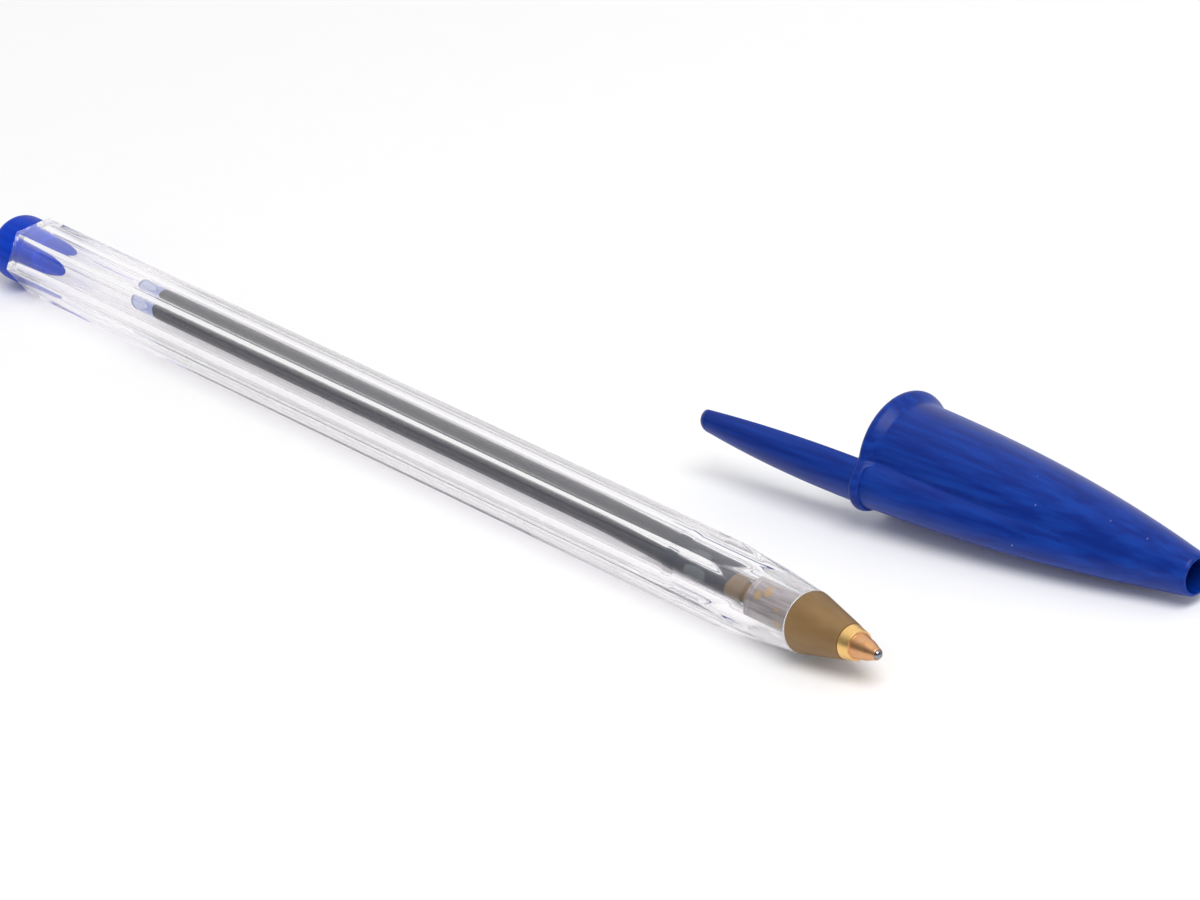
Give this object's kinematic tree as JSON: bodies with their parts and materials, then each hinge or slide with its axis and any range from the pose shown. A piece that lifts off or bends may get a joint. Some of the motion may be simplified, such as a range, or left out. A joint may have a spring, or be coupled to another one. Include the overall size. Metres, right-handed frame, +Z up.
{
  "type": "stick ballpoint pen",
  "caption": "Clear six-sided stick ballpoint pen with refill, nose cone, rolling ball point and end plug, lying beside its pull-off clip cap.",
  "frame": {"origin": "middle of the barrel's length on the flat that the pen lies on", "axes": "+X along the pen's axis towards the writing ball, +Z up from the table, +Y towards the cap"},
  "size_m": [0.1555, 0.0351, 0.0118],
  "materials": {
    "clear_barrel": "clear polished polystyrene",
    "blue_plastic": "soft-gloss moulded polypropylene",
    "bronze_plastic": "matte moulded plastic",
    "refill_plastic": "milky translucent tube",
    "ink": "dark paste ink",
    "brass": "turned",
    "ball_metal": "polished"
  },
  "bodies": {
    "pen": {"barrel": "clear_barrel", "end_plug": "blue_plastic", "nose_cone": "bronze_plastic", "refill_tube": "refill_plastic", "ink_column": "ink", "point_socket": "brass"},
    "ball": {"ball": "ball_metal"},
    "cap": {"cap": "blue_plastic"}
  },
  "joints": [
    {"name": "ball_roll", "type": "hinge", "parent": "pen", "child": "ball", "pos_m": [0.0743, 0, 0.0036], "axis": [0, 1, 0], "continuous": true},
    {"name": "cap_slide", "type": "slide", "parent": "pen", "child": "cap", "axis": [1, 0, 0], "range_m": [0, 0.032]}
  ]
}
